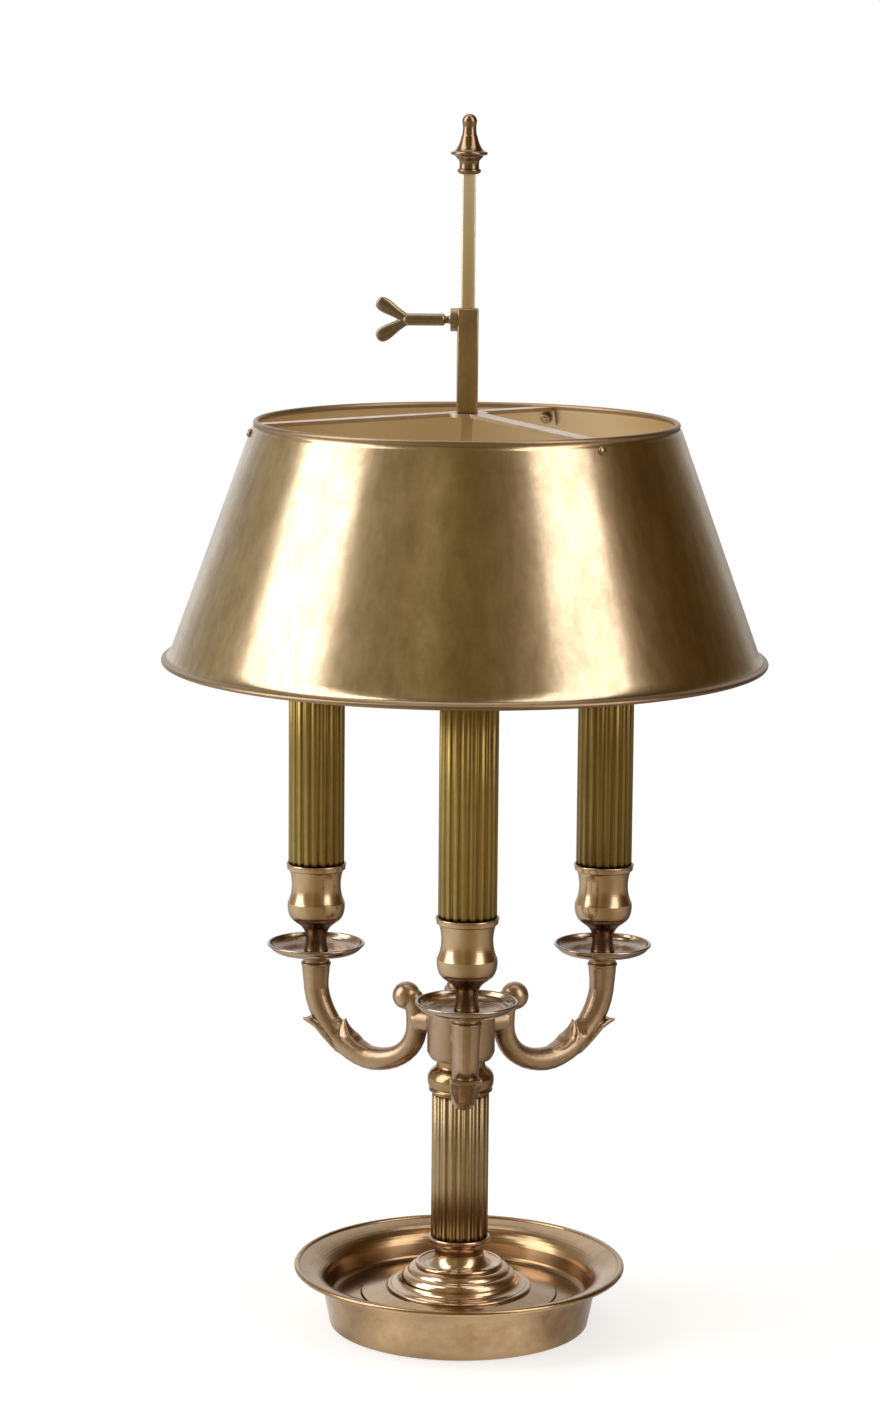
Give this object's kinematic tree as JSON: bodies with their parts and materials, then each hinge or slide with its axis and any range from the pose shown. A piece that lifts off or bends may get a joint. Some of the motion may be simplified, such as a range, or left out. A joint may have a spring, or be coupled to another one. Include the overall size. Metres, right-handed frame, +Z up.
{
  "type": "candelabra table lamp",
  "caption": "Three-light bouillotte table lamp: fluted column on a round tray base, scroll arms with candle tubes, and a metal shade that slides on a square rod.",
  "frame": {"origin": "centre of the lamp's underside, on the table", "axes": "+Z up along the lamp's rod; -Y to the front, along the front arm; +Y to the cord outlet; the clamp screw's handle points along -X"},
  "size_m": [0.321, 0.321, 0.65],
  "materials": {
    "base_brass": "satin antique brass",
    "fluted_brass": "antique brass with darker flutes",
    "bronze": "antique bronze-coloured cast brass",
    "rod_brass": "satin antique brass",
    "shade_brass": "brushed antique brass",
    "clamp_brass": "dark antique brass",
    "zinc_steel": "zinc plated",
    "iron": "black paint",
    "felt": "green felt",
    "bush": "black plastic",
    "holder": "ivory plastic",
    "bulb_glass": "frosted glass"
  },
  "bodies": {
    "stand": {"base_drum": "base_brass", "base_tray": "base_brass", "turned_foot": "base_brass", "column_ring": "base_brass", "capital": "base_brass", "column": "fluted_brass", "candle_tube_left": "fluted_brass", "candle_tube_right": "fluted_brass", "candle_tube_front": "fluted_brass", "arm_left": "bronze", "arm_right": "bronze", "arm_front": "bronze", "drip_pan_left": "bronze", "drip_pan_right": "bronze", "drip_pan_front": "bronze", "candle_cup_left": "bronze", "candle_cup_right": "bronze", "candle_cup_front": "bronze", "hub": "bronze", "hub_cap": "bronze", "square_rod": "rod_brass", "finial": "rod_brass", "tie_rod": "zinc_steel", "tie_washer": "zinc_steel", "tie_nuts": "zinc_steel", "arm_nuts": "zinc_steel", "cup_nuts": "zinc_steel", "pipe_left": "zinc_steel", "pipe_right": "zinc_steel", "pipe_front": "zinc_steel", "base_weight": "iron", "felt_pad": "felt", "cord_bush": "bush", "lampholder_left": "holder", "lampholder_right": "holder", "lampholder_front": "holder", "bulb_left": "bulb_glass", "bulb_right": "bulb_glass", "bulb_front": "bulb_glass"},
    "shade": {"shade": "shade_brass", "spider": "clamp_brass", "shade_screws": "clamp_brass", "sleeve": "clamp_brass", "screw_boss": "clamp_brass"},
    "thumb_screw": {"thumb_screw": "clamp_brass"}
  },
  "joints": [
    {"name": "shade_slide", "type": "slide", "parent": "stand", "child": "shade", "axis": [0, 0, 1], "range_m": [-0.08, 0.068]},
    {"name": "thumb_screw_turn", "type": "hinge", "parent": "shade", "child": "thumb_screw", "pos_m": [0, 0, 0.5435], "axis": [-1, 0, 0], "range_deg": [0, 450]}
  ]
}
